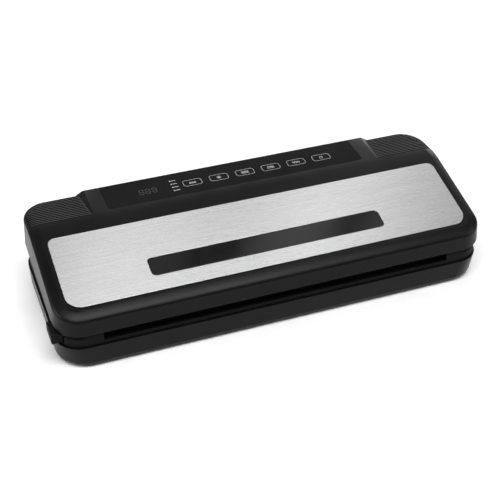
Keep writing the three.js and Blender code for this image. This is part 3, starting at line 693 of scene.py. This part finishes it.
def lid_cover():
    """The lid's shell: its outside, with the block on it, less its inside and every opening."""
    over_plate, under_plate = 8, 12  # reach of the cuts, measured from the plate's face
    over_lid, well_low = 90, 60  # heights that the cuts for the panel start and end at
    bottom = [
        ring(LID_EDGE, seam_z),
        ring(LID_EDGE * 0.3, lambda y: seam_z(y) + LID_EDGE * 0.3),
        ring(0, lambda y: seam_z(y) + LID_EDGE),
    ]
    outside = lid_solid(0, 14, bottom, cover_z)
    inside = lid_solid(WALL, 4, [ring(WALL, lambda y: seam_z(y) - 5)])
    carve(outside, panel_block(), "UNION")
    carve(outside, inside)
    carve(outside, prism(plate_outline(GAP), -PLATE["thick"] - GAP, over_plate, PLATE_FRAME))
    carve(outside, prism(window_outline(GAP), -under_plate, over_plate, PLATE_FRAME))
    carve(outside, prism(panel_outline(GAP), PANEL_LOW.z - GAP, over_lid))
    well_y0, well_y1 = PANEL_LOW.y + WELL["front"], PANEL_HIGH.y - WELL["rear"]
    well = rounded(-WELL["x"], WELL["x"], well_y0, well_y1, WELL["r"])
    carve(outside, prism(well, well_low, over_lid))
    for gap in hinge_gaps():
        carve(outside, cuboid(*gap))
    soften(outside, 0.35, 30)
    for vertex in outside.data.vertices:  # rounding the joined faces can lift a point by a hair
        vertex.co.z = min(vertex.co.z, RIDGE_Z * MM)
    show(outside, "lid_shell", "lid_cover", smooth=24)


def wing_ribs(side):
    """Fine ribs along one wing, from the block's end to the edge of the lid."""

    def inside(x, y):
        if abs(x) < BLOCK_X + RIB_GAP + BLOCK_SLOPE * (RIDGE_Z - top_z(y)):
            return False
        dx = max(abs(x) - (HALF - CORNER_R), 0)
        dy = max(y - (REAR - CORNER_R), 0)
        return (dx / (CORNER_R - RIB_SIDE_MARGIN)) ** 2 + (dy / (CORNER_R - RIB_REAR_MARGIN)) ** 2 < 1

    points, faces = [], []
    half_section = [(-0.5, -0.3), (-0.44, 0.4), (-0.28, 0.82)]  # shares of a rib's width and height
    section = [*half_section, (0, 1), *[(-across, up) for across, up in reversed(half_section)]]
    end_height, end_rise = 0.4, 0.3  # a rib's end is lower, and rises to the full height in two steps
    count = len(section)
    for row in range(int((REAR - RIDGE_Y) / RIB_PITCH)):
        y = RIDGE_Y + RIB_START + RIB_PITCH * row
        run = [side * (BLOCK_X + RIB_STEP * i) for i in range(int((HALF - BLOCK_X) / RIB_STEP))]
        run = [x for x in run if inside(x, y)]
        if len(run) < 3:
            continue
        first = len(points)
        for place, x in enumerate(run):
            end = min(place, len(run) - 1 - place)
            height = RIB_HEIGHT * min(1, end_height + end_rise * end)
            for offset, up in section:
                across = y + offset * RIB_WIDTH
                points.append((x, across, surface_z(x, across) - RIB_HEIGHT + up * height))
        faces += tube(first, count, len(run) - 1)
        last = first + (len(run) - 1) * count
        faces.append(tuple(range(first, first + count)))
        faces.append(tuple(range(last, last + count))[::-1])
    ribs = mesh_object(points, faces)
    word = "left" if side < 0 else "right"
    show(ribs, "lid_shell", f"wing_ribs_{word}", replaces=False, smooth=50, look="rib_black")


def steel_plate():
    outlines = [plate_outline(), window_outline(GAP)]
    plate = slab(outlines, -PLATE["thick"], 0, edge=0.22, place=PLATE_FRAME)
    show(plate, "steel_plate", "plate_brushed")


def window_pane():
    sunk = 0.1  # the pane's face lies this far below the plate's
    pane = slab([window_outline()], -WINDOW["thick"] - sunk, -sunk, edge=0.5, place=PLATE_FRAME)
    show(pane, "viewing_window", "window_pane")


# ------------------------------------------------------------------ control panel
KEY_NAMES = [f"key_{i}" for i in range(1, 7)]
LIGHT_NAMES = [f"status_light_{i}" for i in range(1, 5)]
PRINT = 0.04  # thickness of the printed lines
FACE_Z = RIDGE_Z - PRINT  # the panel's face, under the print
OUTLINE_WIDTH, SIGN_WIDTH, MARK_WIDTH, SEGMENT_WIDTH = 0.26, 0.42, 0.5, 0.9
DIGIT_PITCH, DIGIT_WIDTH, DIGIT_HEIGHT = 6.2, 3.8, 7.2
# Corner radius, and how far past the node's box each outline lies.
KEY_CAP, KEY_HOLE = (3.1, 0.1), (3.2, 0.16)
LENS, LENS_HOLE, LENS_STEPS = (0.4, 0.1), (0.46, 0.16), 3
DISPLAY_PANE, DISPLAY_HOLE = (1.1, 0.1), (1.16, 0.16)
KEY_DEPTH = 2.2  # from the ridge to the underside of a cap


def control_panel():
    holes = [node_outline(name, *KEY_HOLE) for name in KEY_NAMES]
    holes += [node_outline(name, *LENS_HOLE, LENS_STEPS) for name in LIGHT_NAMES]
    holes.append(node_outline("display_window", *DISPLAY_HOLE))
    overlay = slab([panel_outline(), *holes], PANEL_LOW.z, FACE_Z, edge=0.05)
    show(overlay, "control_panel", "panel_overlay")


def stroke(points, width, closed):
    """A flat printed line through points, as (points, faces)."""
    count = len(points)
    verts = []
    for i, point in enumerate(points):
        before = points[i - 1] if closed or i > 0 else point
        after = points[(i + 1) % count] if closed or i < count - 1 else point
        dx, dy = after[0] - before[0], after[1] - before[1]
        length = math.hypot(dx, dy) or 1
        nx, ny = -dy / length * width / 2, dx / length * width / 2
        verts += [(point[0] + nx, point[1] + ny), (point[0] - nx, point[1] - ny)]
    faces = []
    for i in range(count if closed else count - 1):
        after = (i + 1) % count
        faces.append((2 * i, 2 * i + 1, 2 * after + 1, 2 * after))
    return verts, faces


def circle(x, y, r, steps=16):
    angles = (2 * math.pi * i / steps for i in range(steps))
    return [(x + r * math.cos(a), y + r * math.sin(a)) for a in angles]


def drop(x, y, size):
    """A liquid drop, point up."""
    round_part = [
        (x + size * 0.5 * math.cos(a), y - size * 0.25 + size * 0.5 * math.sin(a))
        for a in (math.radians(150 + 240 * i / 12) for i in range(13))
    ]
    return [*round_part, (x, y + size)]


def pictogram(index, x, y):
    """Plain generic signs for the keys, as lists of (points, closed)."""
    wide, tall = 3.6, 1.3
    if index == 0:
        return [(drop(x + dx, y - 0.2, 1.5), True) for dx in (-2.2, 0, 2.2)]
    if index == 1:
        rays = zip(circle(x, y, 1.5, 8), circle(x, y, 2.2, 8))
        return [(circle(x, y, 0.9), True), *[(ray, False) for ray in rays]]
    if index == 2:
        return [([(x - wide, y + dy), (x + wide, y + dy)], False) for dy in (-tall, 0, tall)]
    if index == 3:
        mouth, seal = wide * 0.8, wide * 0.7
        bag = [(x - wide, y - tall), (x + wide, y - tall), (x + mouth, y + tall), (x - mouth, y + tall)]
        return [(bag, True), ([(x - seal, y + 0.4), (x + seal, y + 0.4)], False)]
    if index == 4:
        wave = [(x - wide + wide * i / 12, y + tall * math.sin(math.pi * i / 4)) for i in range(25)]
        return [(wave, False)]
    corners = ((-tall, -tall), (tall, -tall), (tall, tall), (-tall, tall))
    return [([(x + dx, y + dy) for dx, dy in corners], True)]


def printed(lines, node, name, width, slot="light_grey", look=None):
    """Thin printed lines on the panel's face, over a node."""
    height = FACE_Z + PRINT / 2
    points, faces = [], []
    for line, closed in lines:
        verts, quads = stroke(line, width, closed)
        first = len(points)
        points += [(x, y, height) for x, y in verts]
        faces += [tuple(first + i for i in quad) for quad in quads]
    ink = mesh_object(points, faces)
    tool = ink.modifiers.new("thick", "SOLIDIFY")
    tool.thickness = PRINT * MM
    tool.offset = 0
    applied(ink)
    show(ink, node, name, slot=slot, replaces=False, look=look)


def keys():
    inset = 0.5  # of the printed outline, from the key's edge
    for index, name in enumerate(KEY_NAMES):
        low, high = box_mm(name)
        cap = slab([node_outline(name, *KEY_CAP)], RIDGE_Z - KEY_DEPTH, FACE_Z, edge=0.05)
        show(cap, name, f"{name}_cap")
        border = rounded(low.x + inset, high.x - inset, low.y + inset, high.y - inset, 2.5)
        printed([(border, True)], name, f"{name}_outline", OUTLINE_WIDTH)
        sign = pictogram(index, (low.x + high.x) / 2, (low.y + high.y) / 2)
        printed(sign, name, f"{name}_sign", SIGN_WIDTH)


def status_lights():
    """Small lenses, each with a printed ring and dash over it."""
    for name in LIGHT_NAMES:
        low, high = box_mm(name)
        lens = slab([node_outline(name, *LENS, LENS_STEPS)], low.z, FACE_Z, edge=0.04)
        show(lens, name, f"{name}_lens", "gloss_black")
        middle = (low.y + high.y) / 2
        dash = [([(low.x + 2.2, middle), (high.x - 0.3, middle)], False)]
        printed([(circle(low.x + 0.9, middle, 0.45), True), *dash], name, f"{name}_print", MARK_WIDTH)


def display():
    low, high = box_mm("display_window")
    pane = slab([node_outline("display_window", *DISPLAY_PANE)], low.z, FACE_Z, edge=0.05)
    show(pane, "display_window", "display_pane")
    middle = (low + high) / 2
    lines = []
    for dx in (-DIGIT_PITCH, 0, DIGIT_PITCH):
        lines += digit(middle.x + dx, middle.y)
    printed(lines, "display_window", "display_segments", SEGMENT_WIDTH, "rubber_black", "unlit_segment")


def digit(x, y):
    """The seven unlit segments of one digit."""
    wide, tall, gap = DIGIT_WIDTH / 2, DIGIT_HEIGHT / 2, 0.55
    segments = [[(x - wide + gap, y + dy), (x + wide - gap, y + dy)] for dy in (-tall, 0, tall)]
    for dx in (-wide, wide):
        segments += [[(x + dx, y + dy + gap), (x + dx, y + dy + tall - gap)] for dy in (-tall, 0)]
    return [(segment, False) for segment in segments]


# ------------------------------------------------------------------ release button and its spring
SIDEWAYS = Matrix(((0, 0, 1, 0), (1, 0, 0, 0), (0, 1, 0, 0), (0, 0, 0, 1)))  # local x, y, z to Y, Z, X


def release_button():
    """A rubber cap with a groove across it, on a moulded stem that passes into the deck."""
    cap_length, stem_inset, overlap = 5.2, 0.5, 0.6
    groove_low, groove_high, groove_depth = 3.1, 4.1, 0.7
    low, high = box_mm("release_button")
    inner = low.x + cap_length
    cap = rounded(low.y, high.y, low.z, high.z, 1.6)
    cap = slab([cap], low.x, inner, edge=0.9, place=SIDEWAYS, edge_steps=4)
    groove = rounded(low.y - 1, high.y + 1, low.z + groove_low, low.z + groove_high, 0.3)
    carve(cap, prism(groove, low.x - 1, low.x + groove_depth, SIDEWAYS))
    show(cap, "release_button", "release_cap", smooth=40)
    stem_y = low.y + stem_inset, high.y - stem_inset
    stem = rounded(*stem_y, low.z + stem_inset, high.z - stem_inset, 1.2)
    stem = slab([stem], inner - overlap, high.x, edge=0.3, place=SIDEWAYS)
    show(stem, "release_button", "release_stem", slot="body_black", replaces=False, look="textured_black")


def latch_spring():
    """The latch's return spring: a copy of its CAD shape, given a mesh of its own."""
    coil = show(cleaned_copy("latch_spring"), "latch_spring", "latch_spring_coil", smooth=60)
    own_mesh(coil)


# ------------------------------------------------------------------ everything else
def carried_over():
    """The CAD nodes that keep their shape.

    Those hidden inside the housing get a finish. The rest are shown by a copy with rounded edges.
    """
    replaced = {"lid_shell", "steel_plate", "viewing_window", "control_panel", "display_window"}
    replaced.update(("release_button", "latch_spring"), KEY_NAMES, LIGHT_NAMES)
    hidden = {
        "air_hose", "case_screw_front_left", "case_screw_front_right", "case_screw_rear_left",
        "case_screw_rear_right", "control_board", "latch_link", "lid_switch", "power_board",
        "pressure_sensor", "pump_head", "pump_motor", "release_valve", "transformer",
    }
    for node, obj in NODES.items():
        if node in hidden:
            obj.data.materials.clear()
            obj.data.materials.append(FINISHES[SLOT_OF[node]])
        elif node == "base_upper_deck":
            refined(node, angle=32, smooth=18, look="textured_black")
        elif node not in replaced:
            refined(node)


def main():
    lid_cover()
    for side in (-1, 1):
        wing_ribs(side)
    steel_plate()
    window_pane()
    control_panel()
    keys()
    status_lights()
    display()
    release_button()
    latch_spring()
    carried_over()


main()


# ------------------------------------------------------------------ stage, lights and camera
def floor():
    half, level = 3.0, -0.0004
    corners = [(-half, -half), (half, -half), (half, half), (-half, half)]
    mesh = bpy.data.meshes.new("floor")
    mesh.from_pydata([(x, y, level) for x, y in corners], [], [(0, 1, 2, 3)])
    obj = object_from(mesh, "floor")
    obj.data.materials.append(
        finish("floor_paper", (0.86, 0.86, 0.86), (0.9, 0.9, 0.9), (0.7, 0.8), grain_mm=2, depth_mm=0.01)
    )


def softbox(name, place, aim, width, depth, power):
    """A rectangular light, with its place and size in metres and its power in watts."""
    light = bpy.data.lights.new(name, "AREA")
    light.shape = "RECTANGLE"
    light.size = width
    light.size_y = depth
    light.energy = power
    obj = bpy.data.objects.new(name, light)
    obj.location = place
    obj.rotation_euler = (Vector(aim) - Vector(place)).to_track_quat("-Z", "Y").to_euler()
    bpy.context.scene.collection.objects.link(obj)


def sky(azimuth, elevation, distance=1.9):
    """A place over the back of the object: azimuth in degrees from +Y towards +X, and elevation."""
    a, e = math.radians(azimuth), math.radians(elevation)
    return (
        distance * math.sin(a) * math.cos(e),
        distance * math.cos(a) * math.cos(e),
        distance * math.sin(e),
    )


def surroundings():
    world = bpy.data.worlds.new("studio")
    world.use_nodes = True
    background = world.node_tree.nodes["Background"]
    background.inputs["Color"].default_value = (1, 1, 1, 1)
    background.inputs["Strength"].default_value = 0.16
    bpy.context.scene.world = world
    bpy.context.scene.view_settings.view_transform = "Standard"
    softbox("overhead_light", (-0.1, -0.6, 1.9), (0, 0, 0.04), 1.8, 0.95, 41)
    softbox("rear_light_a", sky(13, 60.5), (0, 0, 0.05), 0.34, 1.2, 0.9)
    softbox("rear_light_b", sky(39.5, 56), (0, 0, 0.05), 0.18, 1.2, 1.3)
    softbox("rear_light_c", sky(54, 51.5), (0, 0, 0.05), 0.2, 1.0, 1.0)
    softbox("rear_strip_light", (0.6, 1.9, 0.55), (0, 0, 0.1), 3.2, 0.95, 20)
    softbox("rear_right_light", (1.5, 1.9, 0.56), (0, 0, 0.1), 1.5, 0.95, 4.5)
    softbox("left_light", (-1.6, 0.2, 0.9), (0, 0, 0.02), 1.0, 0.8, 14)
    softbox("right_light", (1.5, -0.6, 0.9), (0.1, -0.1, 0), 0.8, 0.8, 6)


def camera():
    """Looks down at the front from the left. Azimuth is from -Y towards +X, and lengths are in metres."""
    azimuth, elevation, roll = math.radians(-21.02), math.radians(37.77), math.radians(1.02)
    target, distance = (0.0001, 0.0092, 0.0191), 1.04
    view = bpy.data.cameras.new("photo_camera")
    view.lens = 80.4
    view.sensor_width = 36
    obj = bpy.data.objects.new("photo_camera", view)
    tilt = Matrix.Rotation(math.pi / 2 - elevation, 4, "X") @ Matrix.Rotation(roll, 4, "Z")
    turn = Matrix.Rotation(azimuth, 4, "Z") @ tilt
    obj.matrix_world = Matrix.Translation(target) @ turn @ Matrix.Translation((0, 0, distance))
    bpy.context.scene.collection.objects.link(obj)
    bpy.context.scene.camera = obj


floor()
surroundings()
camera()
